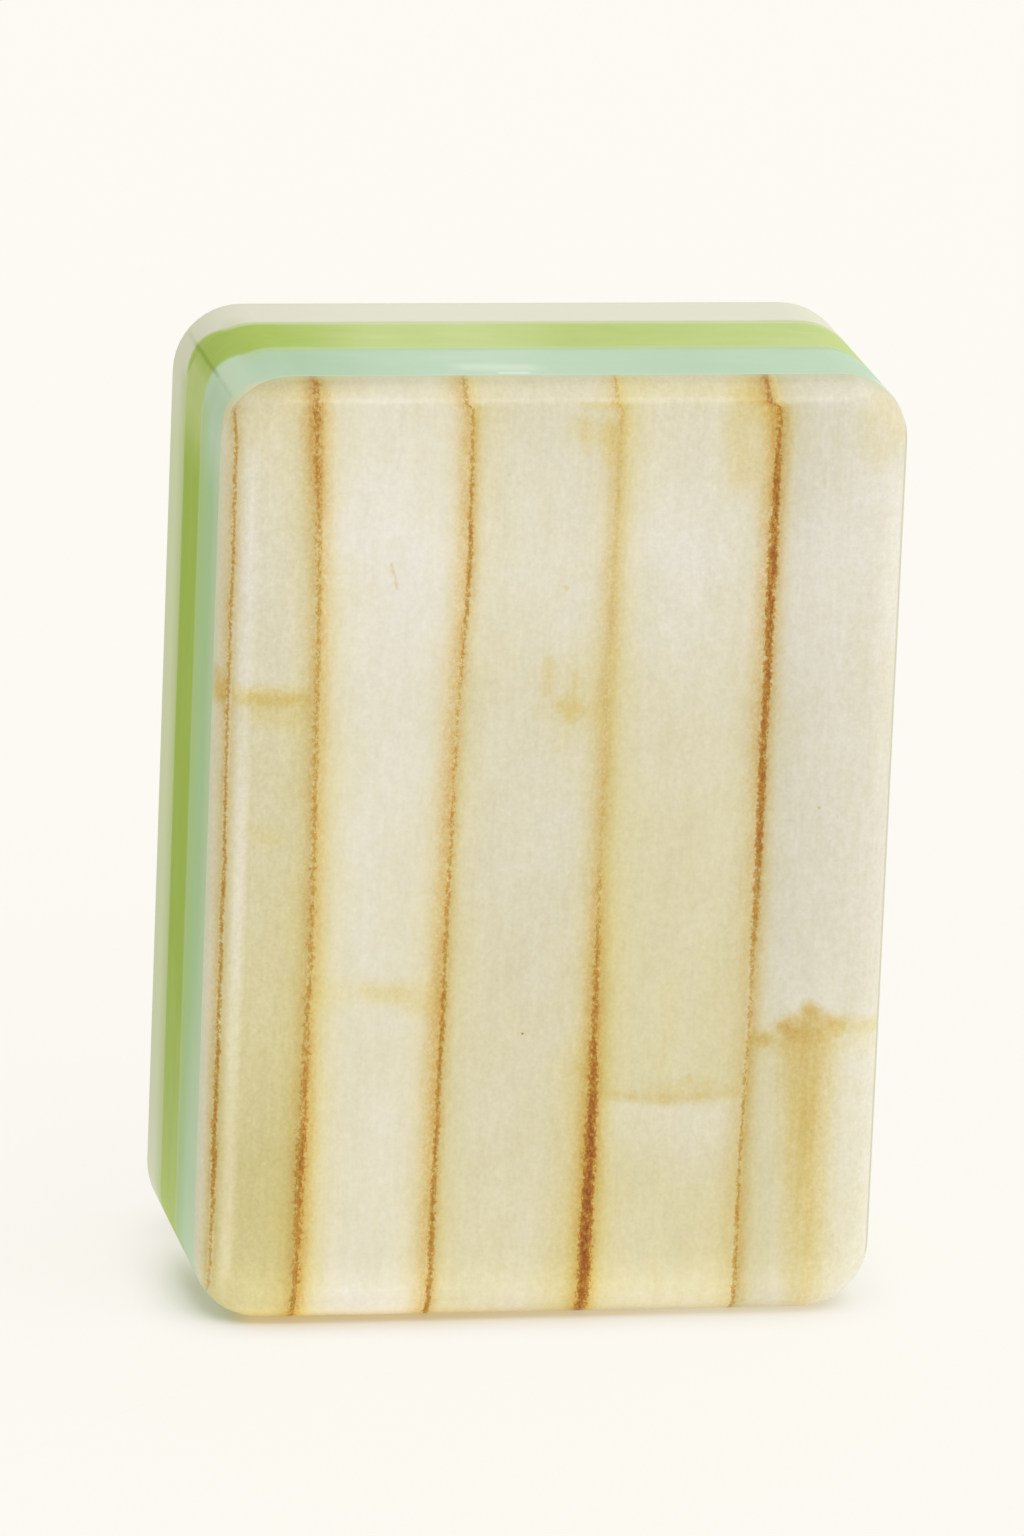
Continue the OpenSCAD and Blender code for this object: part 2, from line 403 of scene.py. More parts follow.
def make_glue_group():
    """Node group that gives the stains of all five glue lines, with nothing to set."""
    tree = bpy.data.node_groups.new("glue_stain", "ShaderNodeTree")
    for name in STAINS:
        tree.interface.new_socket(name, in_out="OUTPUT", socket_type="NodeSocketFloat")
    graph = Graph(tree)
    whole, x, _, z = graph.place()
    share = height_share(graph, z)
    blotch = graph.noise(graph.stretched(whole, 1.6, 0.5, 0.7), detail=4, roughness=0.65)
    patch = graph.noise(graph.stretched(whole, 2, 1, 1.6), detail=3, roughness=0.6, seed=8)
    ragged = graph.noise(graph.stretched(whole, 8, 4, 5), detail=2, roughness=0.6, seed=3)
    grit = graph.noise(graph.stretched(whole, 12, 6, 9), detail=2, roughness=0.7, seed=7)
    totals = [0] * len(STAINS)
    for number in range(len(GLUE_CORES)):
        sway = graph.noise(graph.stretched(whole, 0, 0, 0.35), detail=4, roughness=0.6, seed=10 + number)
        grains = (graph.times(sway, 0.14), blotch, patch, ragged, grit)
        stains = glue_stain(graph, number, x, z, share, grains)
        totals = [graph.add(total, stain) for total, stain in zip(totals, stains)]
    out = graph.node("NodeGroupOutput")
    for socket, total in zip(out.inputs, totals):
        graph.feed(socket, total)
    return tree


# Marks of the bamboo, as strokes: start and end in x and z on the back, half width, amber and film
SLAT_1_STROKES = (
    ((-10.7, 20.8), (-8.3, 20.7), 0.6, 0.2, 0.75),
    ((-9.95, 20.8), (-8.7, 20.65), 0.4, 0.3, 0.35),
    ((-10.95, 21.4), (-10.85, 20.6), 0.4, 0.5, 0.6),
    ((-9.5, 16.3), (-9.1, 16.1), 0.6, 0.05, 0.4),
    ((-9.6, 20.2), (-8.6, 20.0), 0.7, 0.12, 0.5),
    ((-9.3, 29.9), (-8.3, 30.4), 0.9, 0.1, 0.05),
    ((-8.5, 29.7), (-8.2, 28.2), 0.5, 0.15, 0),
)
SLAT_2_STROKES = (
    ((-7.3, 11.0), (-5.6, 11.0), 0.8, 0.04, 0.35),
    ((-5.7, 11.1), (-4.9, 10.95), 0.6, 0.12, 0.4),
    ((-4.7, 10.85), (-3.9, 10.7), 0.9, 0.15, 0.5),
    ((-5.52, 24.99), (-5.4, 24.24), 0.07, 0.5, 0),
)
SLAT_3_STROKES = (
    ((-0.4, 21.8), (-0.5, 20.8), 0.35, 0.25, 0.25),
    ((0.44, 21.2), (0.5, 20.4), 0.4, 0.15, 0.3),
    ((0.05, 20.45), (0.35, 20.15), 0.5, 0.22, 0.45),
    ((0.3, 20.0), (0.04, 19.05), 0.35, 0.06, 0.25),
    ((-0.6, 20.25), (1.1, 20.15), 0.5, 0.05, 0.2),
    ((0.2, 21.2), (1.0, 20.3), 1.6, 0.08, 0.2),
    ((0.75, 0.5), (0.9, 8.5), 1.2, 0.1, 0.35),
    ((0.4, 29.6), (0.5, 28.6), 0.3, 0.12, 0.3),
    ((1.1, 29.5), (1.2, 28.3), 0.35, 0.15, 0.35),
    ((0.06, 24.23), (0.08, 24.2), 0.12, 0.3, 0.3),
    ((0.4, 30.1), (1.9, 30.05), 0.25, 0.12, 0.5),
    ((0.3, 29.3), (1.4, 29.0), 0.8, 0.06, 0.5),
    ((-0.8, 9.58), (-0.8, 9.56), 0.06, 4, 0),
)
SLAT_4_STROKES = (
    ((1.75, 7.6), (2.9, 7.45), 0.3, 0.2, 0.1),
    ((2.9, 7.45), (3.9, 7.36), 0.3, 0.2, 0.1),
    ((3.9, 7.36), (5.0, 7.36), 0.3, 0.22, 0.15),
    ((5.0, 7.36), (6.2, 7.6), 0.3, 0.2, 0.15),
    ((3.6, 7.6), (5.2, 7.7), 0.6, 0.14, 0.25),
    ((4.7, 8.1), (4.71, 7.9), 0.14, 0.2, 0.2),
    ((3.95, 11.1), (3.78, 8.3), 0.5, 0, 0.25),
    ((5.4, 30.4), (6.3, 29.9), 0.8, 0.2, 0.6),
    ((5.3, 29.6), (5.5, 27.8), 0.9, 0.25, 0.5),
    ((2.4, 30.6), (5.6, 30.5), 0.6, 0.02, 0.4),
)
SLAT_5_STROKES = (
    ((7.0, 9.25), (7.1, 9.15), 0.32, 0.5, 0.3),
    ((6.6, 9.3), (7.5, 9.2), 0.6, 0.08, 0.4),
    ((7.2, 9.45), (7.85, 9.75), 0.45, 0.2, 0.3),
    ((7.7, 9.75), (8.55, 10.15), 0.5, 0.5, 0.35),
    ((8.55, 10.2), (9.4, 9.75), 0.5, 0.45, 0.4),
    ((8.4, 10.3), (8.65, 10.3), 0.35, 0.15, 0.1),
    ((7.75, 9.65), (7.9, 9.5), 0.35, 0.5, 0.2),
    ((9.3, 9.75), (10.95, 9.65), 0.5, 0.12, 0.6),
    ((9.7, 9.2), (10.9, 9.3), 0.8, 0, 0.4),
    ((8.1, 9.5), (9.0, 9.5), 0.9, 0.3, 0.2),
    ((8.46, 16.93), (8.46, 16.91), 0.07, 1.2, 0),
    ((9.9, 0.8), (10.0, 8.6), 1.0, 0, 0.15),
    ((9.6, 29.6), (9.9, 28.5), 0.9, 0.05, 0.4),
    ((10.2, 30.2), (10.7, 29.0), 0.8, 0.1, 0.3),
)


# Each of the next five gives the amber and the film of a slat's strokes, and the changes of its
# yellowing and of its light that its beds and zones make; the first slat's zone is a painted highlight

# The bed under the first slat's node, and the band of painted highlight along the rounding, which is
# paler still low down
SLAT_1_BED_Z = (21.0, 20.5)
HIGHLIGHT_STRIP_X = (0.7 - SIDE_X, 1.1 - SIDE_X)
HIGHLIGHT_STRIP_Z = (1.5, 28.8)
HIGHLIGHT_STRIP_LOW_Z = (20.5, 14)


def slat_1_marks(graph, flat, x, z):
    """A broad node with a darker bed below it, and a paler band of painted highlight along the rounding.
    """
    bed = graph.times(graph.fade(z, *SLAT_1_BED_Z), 0.35)
    # The band along the rounding is a painted highlight: less yellowed and lighter, more so low down
    height = graph.span(z, *HIGHLIGHT_STRIP_Z, 0.7)
    highlight_strip = graph.times(graph.span(x, *HIGHLIGHT_STRIP_X, 0.15), height)
    low = graph.fade(z, *HIGHLIGHT_STRIP_LOW_Z)
    age = graph.less(bed, graph.times(highlight_strip, graph.add(0.3, graph.times(low, 0.35))))
    light = graph.times(highlight_strip, graph.add(0.04, graph.times(low, 0.04)))
    return *strokes(graph, flat, SLAT_1_STROKES), age, light


# The bed under the second slat's node, and the clearer zone
SLAT_2_BED_Z = (9.6, 10.9)
SLAT_2_CLEAR_X = (-5.2, -6.6)
SLAT_2_CLEAR_Z = (25.5, 28.6)


def slat_2_marks(graph, flat, x, z):
    """A faint node that steps down to the right, and a clearer zone high up on the left."""
    bed = graph.times(graph.span(z, *SLAT_2_BED_Z, 0.3), -0.08)
    clear = graph.times(graph.span(z, *SLAT_2_CLEAR_Z, 0.8), graph.fade(x, *SLAT_2_CLEAR_X), -0.15)
    return *strokes(graph, flat, SLAT_2_STROKES), graph.add(bed, clear), 0


# The bed round the third slat's scar
SLAT_3_BED_Z = (19, 22.5)


def slat_3_marks(graph, flat, x, z):
    """A small branch scar in a bed that is a little darker."""
    bed = graph.times(graph.span(z, *SLAT_3_BED_Z, 1.5), 0.12)
    return *strokes(graph, flat, SLAT_3_STROKES), bed, 0


# The lowest point of the fourth slat's node, how it rises to both sides, and where its bed ends
SLAT_4_NODE_X = 4.5
SLAT_4_NODE_Z = 7.3
SLAT_4_RISE = 0.035
SLAT_4_BED_TOP = (-0.1, 0.35)
SLAT_4_BED_END = (3.4, 0.6)


def slat_4_marks(graph, flat, x, z):
    """A thin node that sags in the middle, with a paler bed just below it."""
    sag = graph.times(graph.math("POWER", graph.less(x, SLAT_4_NODE_X), 2), SLAT_4_RISE)
    below = graph.less(graph.add(sag, SLAT_4_NODE_Z), z)
    bed = graph.times(graph.fade(below, *SLAT_4_BED_TOP), graph.fade(below, *SLAT_4_BED_END), -0.42)
    return *strokes(graph, flat, SLAT_4_STROKES), bed, 0


# The peak of the fifth slat's node, its slope to both sides and the height where it ends, and its bed
PEAK_X = 8.58
PEAK_Z = 10.2
PEAK_SLOPE = 0.75
PEAK_FOOT_Z = 9.6
SLAT_5_BED_X = (9.2, 8.4)
SLAT_5_BED_TOP = (-0.1, 0.3)
# The stain below the peak: its left edge at the foot, how far that goes left by height, and its ends
RUN_LEFT_X = 8.5
RUN_LEAN = 0.076
RUN_LEFT = (-0.8, 0.5)
RUN_RIGHT_X = (10.0, 8.75)
RUN_TOP = (-0.1, 0.6)
RUN_FOOT_Z = (-0.6, 0.5)
# The slat gets lighter by this much for each millimetre to the right of its middle
SLAT_5_MIDDLE_X = 8.7
LIGHT_SLOPE = 0.038


def slat_5_marks(graph, flat, x, z):
    """A peaked node, an amber stain that runs down from it, and more light towards the right."""
    peak = graph.less(PEAK_Z, graph.times(graph.math("ABSOLUTE", graph.less(x, PEAK_X)), PEAK_SLOPE))
    below = graph.less(graph.math("MAXIMUM", peak, PEAK_FOOT_Z), z)
    under = graph.fade(below, *SLAT_5_BED_TOP)
    bed = graph.times(under, graph.less(graph.times(graph.fade(x, *SLAT_5_BED_X), 0.5), 0.15))
    left_x = graph.less(RUN_LEFT_X, graph.times(z, RUN_LEAN))
    left = graph.fade(graph.less(x, left_x), *RUN_LEFT)
    right = graph.fade(x, *RUN_RIGHT_X)
    streaks = graph.noise(graph.stretched(graph.combine(x, 0, z), 3, 0, 0.25), detail=4, seed=61)
    run = graph.times(left, right, graph.fade(below, *RUN_TOP), graph.fade(z, *RUN_FOOT_Z))
    run = graph.times(run, graph.add(1, graph.times(streaks, 1.5)))
    amber, film = strokes(graph, flat, SLAT_5_STROKES)
    amber = graph.add(amber, graph.times(run, right, graph.add(0.25, graph.times(z, 0.045))))
    light = graph.times(graph.less(x, SLAT_5_MIDDLE_X), LIGHT_SLOPE)
    return amber, graph.add(film, run), bed, light


# Materials

def new_material(name):
    """An empty material, and what writes its nodes."""
    material = bpy.data.materials.new(name)
    material.use_nodes = True
    material.node_tree.nodes.clear()
    return material, Graph(material.node_tree)


def close(graph, colour, roughness, height=None, bump=0.0, coat=None, glow=None, **constants):
    """Ends a material: a Principled shader with that colour, roughness, height, coat, glow and
    constants."""
    shader = graph.node("ShaderNodeBsdfPrincipled")
    graph.feed(shader.inputs["Base Color"], colour)
    graph.feed(shader.inputs["Roughness"], roughness)
    for name, value in constants.items():
        shader.inputs[name.replace("_", " ")].default_value = value
    if coat is not None:
        graph.feed(shader.inputs["Coat Weight"], coat)
    if glow is not None:
        graph.feed(shader.inputs["Emission Color"], glow)
    if height is not None:
        relief = graph.node("ShaderNodeBump")
        relief.inputs["Strength"].default_value = 1
        relief.inputs["Distance"].default_value = bump * MM
        graph.feed(relief.inputs["Height"], height)
        graph.feed(shader.inputs["Normal"], relief.outputs[0])
    out = graph.node("ShaderNodeOutputMaterial")
    graph.feed(out.inputs["Surface"], shader.outputs[0])


GLUE_GROUP = make_glue_group()
BAMBOO_TONE = rgb(231, 227, 216)[:3]
# What of the aqua layer shines through the slats at their seam
SEAM_TONE = rgb(192, 204, 160)
RIM_TONE = rgb(188, 188, 148)

# The head corner on the left: the middle of its rounding, how far towards the left side of that its
# share is greatest, and how far it reaches
HEAD_CORNER = Vector((CORNER_R - SIDE_X, BODY_H - CORNER_R))
CORNER_OFF = 0.3
CORNER_REACH = 2
LEFT_HALF_X = (0, -5)


def corner_share(graph, x, z):
    """How far past the middle of the rounded head corner a point is, from the left side round to the
    head end, and a share that is 1 close to there and falls to 0 where the corner ends."""
    turned = graph.less(graph.add(z, x), HEAD_CORNER.x + HEAD_CORNER.y)
    # The same sum is met again on the right side, where there is no such corner
    left_half = graph.fade(x, *LEFT_HALF_X)
    off = graph.math("ABSOLUTE", graph.add(turned, CORNER_OFF))
    return turned, graph.times(graph.fade(off, CORNER_REACH, 0), left_half)


# Zones of the slats: the left side with its lower end, the rounding over at the head end and its left
# part, the foot, the seam to the aqua layer, the slat's share of the corner, and the thin right rim
LEFT_SIDE_X = (0.5 - SIDE_X, 0.1 - SIDE_X)
LEFT_SIDE_Z = (12, 16)
HEAD_AGED_Z = (BODY_H - 0.75, BODY_H - 0.3)
HEAD_SHADED_Z = (BODY_H - 0.55, BODY_H - 0.1)
HEAD_LEFT_X = (-4, -7.5)
FOOT_CLEAR_Z = (1.8, 0.3)
FOOT_LIT_Z = (0.8, 0)
FOOT_LIT_X = (4, -9)
SEAM_SIDE_X = (1.2 - SIDE_X, 0.1 - SIDE_X)
SEAM_HEAD_Z = (BODY_H - 0.9, BODY_H - 0.4)
SEAM_Y = (SLAT_Y - 0.4, SLAT_Y)
CORNER_SLAT_X = (3 - SIDE_X, 2 - SIDE_X)
RIM_X = (SIDE_X - 0.2, SIDE_X - 0.11)


def zone_age(graph, x, z, age, cloud):
    """A slat's yellowing with that of its left side, its head end and its foot."""
    # The left side of the block, cut across the glue, hasn't yellowed towards the foot
    left_age = graph.add(0.3, graph.times(graph.fade(z, *LEFT_SIDE_Z), 0.12), graph.times(cloud, 0.6))
    age = graph.mixed(graph.fade(x, *LEFT_SIDE_X), age, left_age)
    # Above the bend at the head end the slats on the left have yellowed, and at the foot all less so
    bend = graph.mixed(graph.fade(x, *HEAD_LEFT_X), 0.1, 0.5)
    age = graph.add(age, graph.times(graph.fade(z, *HEAD_AGED_Z), bend))
    return graph.less(age, graph.times(graph.fade(z, *FOOT_CLEAR_Z), 0.25))


def zone_light(graph, x, z):
    """How much lighter or darker a slat is at its foot and its head end."""
    # The foot's rounding catches light from the floor, on the left
    foot = graph.times(graph.fade(z, *FOOT_LIT_Z), graph.fade(x, *FOOT_LIT_X), 0.35)
    # The head's rounding is in shade, more so on the left
    shade = graph.mixed(graph.fade(x, *HEAD_LEFT_X), -0.06, -0.14)
    head = graph.times(graph.fade(z, *HEAD_SHADED_Z), shade)
    return graph.add(1, foot, head)


def at_edges(graph, colour, x, y, z):
    """A slat's colour with the aqua layer shining through near its seam, and the thin rim on the right
    greyer."""
    ends = graph.math("MAXIMUM", graph.fade(x, *SEAM_SIDE_X), graph.fade(z, *SEAM_HEAD_Z))
    _, corner = corner_share(graph, x, z)
    on_corner = graph.times(graph.fade(corner, 0, 0.3), graph.fade(x, *CORNER_SLAT_X))
    seam = graph.times(graph.fade(y, *SEAM_Y), ends, graph.less(1, on_corner), 0.4)
    colour = graph.mix(seam, colour, SEAM_TONE)
    return graph.mix(graph.times(graph.fade(x, *RIM_X), 0.9), colour, RIM_TONE)


def bamboo_material(name, texture, ages, lights, marks=None):
    """Polished bamboo, or the glue between two slats: yellowed and made lighter or darker by height,
    with painted light at the foot and painted shade at the head end, with an upright grain that is as
    strong as texture says, stained by the glue and marked by its own nodes."""
    material, graph = new_material(name)
    whole, x, y, z = graph.place()
    share = height_share(graph, z)
    glue = graph.node("ShaderNodeGroup", node_tree=GLUE_GROUP)
    cloud = graph.noise(graph.stretched(whole, 0.6, 0.4, 0.32), detail=4, roughness=0.6, seed=1)
    warm = graph.noise(graph.stretched(whole, 0.9, 0.5, 0.28), detail=4, roughness=0.6, seed=4)
    fibre = graph.noise(graph.stretched(whole, 7, 2, 0.5), detail=3, roughness=0.6, seed=2)
    fleck = graph.noise(graph.stretched(whole, 4, 3, 3), detail=2, roughness=0.6, seed=5)
    grain = graph.noise(whole, scale=7, detail=3, roughness=0.75, seed=6)
    age = graph.add(
        graph.curve(share, STAIN_SHARES, ages),
        graph.times(cloud, 0.9),
        graph.times(fleck, 0.3 * texture),
        graph.times(fibre, 0.25 * texture),
        graph.times(grain, 0.27 * texture),
    )
    amber, film, core = (glue.outputs[stain] for stain in STAINS)
    brighter = 0
    if marks:
        drawn_amber, drawn_film, bed, brighter = marks(graph, wavering(graph, whole, x, z), x, z)
        gritty = graph.add(1, graph.times(grain, 1.1))
        amber = graph.add(amber, graph.times(drawn_amber, gritty))
        film = graph.add(film, graph.times(drawn_film, gritty))
        age = graph.add(age, bed)
    age = zone_age(graph, x, z, age, cloud)
    worn = graph.add(graph.times(warm, 0.1), graph.times(fibre, 0.06 * texture))
    worn = graph.add(worn, graph.times(fleck, 0.09), graph.times(grain, 0.2 * texture))
    # How light a slat is by height takes in painted light at the foot and painted shade at the head end;
    # brighter is the first slat's painted highlight and the fifth slat's lightening towards the right
    light = graph.less(graph.curve(share, STAIN_SHARES, lights), worn)
    light = graph.times(light, graph.add(1, brighter), zone_light(graph, x, z))
    colour = graph.scaled(BAMBOO_TONE, light)
    colour = filtered(graph, colour, AGE_PASS, age)
    colour = filtered(graph, colour, FILM_PASS, film)
    colour = filtered(graph, colour, AMBER_PASS, amber)
    colour = filtered(graph, colour, CORE_PASS, core)
    colour = at_edges(graph, colour, x, y, z)
    roughness = graph.add(0.24, graph.times(cloud, 0.1), graph.times(fleck, 0.06))
    height = graph.add(fibre, graph.times(fleck, 0.5), graph.times(grain, 0.3))
    close(graph, colour, roughness, height, 0.004, Specular_IOR_Level=0.4)
    return material


# Shares of the width at which a resin's depth on the head end is given
DEPTH_SHARES = (0, 0.12, 0.25, 0.4, 0.55, 0.7, 0.85, 1)
# Where the resins are darker: on the left side between its ends, which is painted shade, and on the
# head end, where they are deeper
SHADED_LEFT_X = (2.3 - SIDE_X, 0.6 - SIDE_X)
SHADED_LEFT_Y = (FACE_Y - 0.3, FACE_Y - 2)
SHADED_LOW_Z = (-1, 12)
SHADED_HIGH_Z = (BODY_H - 2, BODY_H - 4.6)
DEEP_HEAD_Z = (BODY_H - 1.7, BODY_H - 0.7)
# At the head corner: how far each tone creeps over the next layer, where the painted highlight beside
# the crease of painted shade lies and how far in it starts, how far towards the left side the crease's
# line is, its half width and ends
CREEP = 0.75
CREEP_SOFT = 0.2
HIGHLIGHT_BEAM_TURN = (-0.5, 1.2)
HIGHLIGHT_BEAM_Y = (AQUA_Y + 1.05, AQUA_Y + 0.05)
CREASE_SHADE_OFF = 0.43
CREASE_SHADE_HALF_WIDTH = 0.18
CREASE_SHADE_Y = (SLAT_Y + 0.75, FACE_Y - 2.05)
CREASE_DARKEST_Y = (AQUA_Y, LIME_Y + 1)
# Where the left side is paler, where painted light makes it lighter, where the painted highlights of
# the head end begin, and where the polish of the playing face does
PALE_Y = (AQUA_Y - 0.65, AQUA_Y - 2.45)
PALE_Z = (16, 4)
PAINTED_LIGHT_Z = (5, 1)
HIGHLIGHT_Z = (BODY_H - 0.9, BODY_H - 0.5)
POLISHED_Y = (FACE_Y - 1.2, FACE_Y)


class Neighbour(NamedTuple):
    """A layer beside a resin: its tone there, the plane between them, how far the tone reaches on the
    head end and on the left side, its strength on the left side, and the tone of what creeps over."""
    tone: tuple
    plane: float
    reach: float
    side_reach: float
    side_share: float
    crept_tone: tuple = None


def with_painted_crease(graph, colour, y, turned, corner, on_corner, swirl):
    """A crease of painted shade that runs across the corner, with a paler painted highlight beside it.
    """
    swirled_turn = graph.add(turned, graph.times(swirl, 0.2))
    beam_highlight = graph.times(graph.span(swirled_turn, *HIGHLIGHT_BEAM_TURN, 0.5), graph.fade(y, *HIGHLIGHT_BEAM_Y), corner, 0.75)
    colour = graph.mix(beam_highlight, colour, HIGHLIGHT_AND_PALE_TONE)
    # The crease's painted shade, darkest in the lime layer
    line = graph.fade(graph.math("ABSOLUTE", graph.add(swirled_turn, CREASE_SHADE_OFF)), CREASE_SHADE_HALF_WIDTH, 0)
    dark = graph.add(0.12, graph.times(graph.span(y, *CREASE_DARKEST_Y, 0.4), 0.28))
    line = graph.times(line, graph.span(y, *CREASE_SHADE_Y, 0.3), dark, on_corner)
    return graph.mix(line, colour, CREASE_SHADE_TONE)


def resin_material(name, tones, depths, before, after=None, highlights=()):
    """A cloudy poured layer with its tones: plain, darker on the left side as painted shade, and deeper
    on the head end.
    It is darkened by painted shade on its left side and, by depths, is deeper along the head end. It
    takes on the tones of its neighbours, before and after it, where it meets them at their planes."""
    material, graph = new_material(name)
    tone, shaded_side_tone, head_tone = tones
    whole, x, y, z = graph.place()
    cloud = graph.noise(graph.stretched(whole, 0.35, 0.5, 0.2), detail=4, roughness=0.55, seed=21)
    swirl = graph.noise(graph.stretched(whole, 0.6, 1.6, 0.6), detail=3, roughness=0.6, seed=22)
    fleck = graph.noise(whole, scale=6, detail=2, roughness=0.6, seed=23)
    turned, corner = corner_share(graph, x, z)
    on_corner = graph.fade(corner, 0, 0.5)
    # Painted shade darkens the left side, most between its ends
    left = graph.times(graph.fade(x, *SHADED_LEFT_X), graph.fade(y, *SHADED_LEFT_Y))
    between = graph.times(graph.fade(z, *SHADED_LOW_Z), graph.fade(z, *SHADED_HIGH_Z), 0.7)
    side = graph.times(left, graph.add(0.3, between))
    depth = graph.curve(graph.add(graph.math("DIVIDE", x, BODY_W), 0.5), DEPTH_SHARES, depths)
    head = graph.times(graph.fade(z, *DEEP_HEAD_Z), depth)
    shade_and_depth = graph.math("MAXIMUM", side, head)
    shade_and_depth = graph.add(shade_and_depth, graph.times(cloud, 0.5), graph.times(swirl, 0.3), graph.times(fleck, 0.08))
    shade_and_depth_tone = graph.mix(graph.fade(turned, -0.6, 0.6), shaded_side_tone, head_tone)
    colour = graph.mix(graph.clamped(shade_and_depth), tone, shade_and_depth_tone)
    ripple = graph.times(swirl, 0.25)
    for layer in filter(None, (before, after)):
        off = graph.math("ABSOLUTE", graph.add(y, -layer.plane, ripple))
        near = graph.times(graph.fade(off, layer.reach, 0), 0.5)
        near_side = graph.times(graph.fade(off, layer.side_reach, 0), left, layer.side_share)
        near = graph.times(graph.math("MAXIMUM", near, near_side), graph.less(1, on_corner))
        colour = graph.mix(near, colour, layer.tone)
    # At the rounded corner the layer before this one creeps a little over it
    past = graph.less(graph.add(before.plane, graph.times(corner, CREEP)), y)
    over = graph.times(graph.fade(past, -CREEP_SOFT, CREEP_SOFT), on_corner)
    colour = graph.mix(over, colour, before.crept_tone)
    # A crease of painted shade across the head corner, with a painted highlight beside it
    colour = with_painted_crease(graph, colour, y, turned, corner, on_corner, swirl)
    # Near the back and the foot the left side is paler
    pale = graph.times(left, graph.fade(z, *PALE_Z), graph.fade(y, *PALE_Y), 0.35)
    colour = graph.mix(pale, colour, HIGHLIGHT_AND_PALE_TONE)
    # Painted light makes the left side lighter near the foot
    lighter = graph.times(graph.fade(z, *PAINTED_LIGHT_Z), left, 0.1)
    colour = graph.scaled(colour, graph.add(1, lighter))
    # Painted highlights on the aqua layer's head end
    if highlights:
        highlight, = strokes(graph, graph.combine(x, y, 0), highlights)
        colour = graph.mix(graph.times(graph.fade(z, *HIGHLIGHT_Z), highlight), colour, HIGHLIGHT_TONE)
    roughness = graph.add(0.3, graph.times(cloud, 0.1))
    # The playing face is polished to a gloss, the sides only a little
    polish = graph.add(0.05, graph.times(graph.fade(y, *POLISHED_Y), 0.6))
    close(
        graph, colour, roughness, swirl, 0.01, polish,
        Specular_IOR_Level=0, Coat_Roughness=0.12,
    )
    return material


def paint_material(name, tone, thin):
    """Enamel flooded into the engraving, a little thinner and lighter in places."""
    material, graph = new_material(name)
    whole, *_ = graph.place()
    pool = graph.noise(whole, scale=1.4, detail=3, roughness=0.6, seed=31)
    grain = graph.noise(whole, scale=9, detail=2, roughness=0.6, seed=32)
    share = graph.fade(graph.add(pool, graph.times(grain, 0.4)), -0.1, 0.5)
    colour = graph.mix(share, tone, thin)
    roughness = graph.add(0.34, graph.times(grain, 0.2))
    close(graph, colour, roughness, graph.add(pool, grain), 0.01, IOR=1.5)
    return material


FLOOR_TONE = Vector((0.12, 0.12, 0.118))
# The floor is a lit table, so that only what lies close to the tile is in its shadow
FLOOR_GLOW = rgb(255, 252, 244)
FLOOR_GLOW_STRENGTH = 0.841
CONTACT_REACH = 2.5 * MM
# How deep the contact shadow is in red, green and blue: before the back, and at the tile's two sides
FRONT_SHADE = (0.6, 0.8, 1.15, 1)
LEFT_SHADE = (1.45, 1.38, 1.75, 1)
RIGHT_SHADE = (0.35, 0.4, 0.55, 1)
# The most of the sky that the tile is taken to hide, from its right end to its left end
MOST_HIDDEN = (0.8, 0.63)
# A power above 1 keeps the shadow close to the tile
CONTACT_POWER = 2.2
# Where the floor's left and right parts begin, and where it lies behind the tile
FLOOR_LEFT_X = (2 - SIDE_X, 0.8 - SIDE_X)
FLOOR_RIGHT_X = (SIDE_X - 1, SIDE_X)
FLOOR_BEHIND_Y = (-2.5, 3)


def floor_material():
    """A lit floor with a soft contact shadow, drawn from how much of the sky the tile hides there."""
    material, graph = new_material("pale_floor")
    whole, x, y, _ = graph.place()
    tooth = graph.noise(whole, scale=1.5, detail=3, seed=41)
    colour = graph.scaled(FLOOR_TONE, graph.add(1, graph.times(tooth, 0.01)))
    near = graph.node("ShaderNodeAmbientOcclusion", samples=16)
    near.inputs["Distance"].default_value = CONTACT_REACH
    left = graph.fade(x, *FLOOR_LEFT_X)
    right = graph.fade(x, *FLOOR_RIGHT_X)
    towards_left = graph.fade(x, SIDE_X, -SIDE_X)
    most = graph.mixed(towards_left, *MOST_HIDDEN)
    hidden = graph.math("MINIMUM", graph.less(1, near.outputs["AO"]), most)
    hidden = graph.math("POWER", hidden, CONTACT_POWER)
    # On the left the shadow is lighter further back
    fainter = graph.times(left, graph.fade(y, *FLOOR_BEHIND_Y), 0.75)
    hidden = graph.times(hidden, graph.less(1, fainter))
    # Before the back it is deepest at the left end
    along = graph.add(0.6, graph.times(towards_left, 1.2))
    hidden = graph.times(hidden, graph.mixed(graph.math("MAXIMUM", left, right), along, 1))
    shade = graph.mix(left, FRONT_SHADE, LEFT_SHADE)
    shade = graph.mix(right, shade, RIGHT_SHADE)
    lit = graph.vector("SUBTRACT", (1, 1, 1), graph.scaled(shade, hidden))
    glow = graph.vector("MULTIPLY", FLOOR_GLOW[:3], lit)
    close(
        graph, colour, 0.8, tooth, 0.01, None, glow,
        Specular_IOR_Level=0.1, Emission_Strength=FLOOR_GLOW_STRENGTH,
    )
    return material


# Each resin's tone, how painted shade darkens it on the left side, and how it deepens on the head end
FACE_TONE = rgb(225, 225, 205)
FACE_SHADED_SIDE = rgb(215, 222, 182)
FACE_HEAD = rgb(218, 217, 196)
LIME_TONE = rgb(199, 214, 146)
LIME_SHADE_AND_DEEP = rgb(164, 189, 84)
AQUA_TONE = rgb(196, 218, 194)
AQUA_SHADED_SIDE = rgb(172, 203, 150)
AQUA_HEAD = rgb(176, 203, 172)
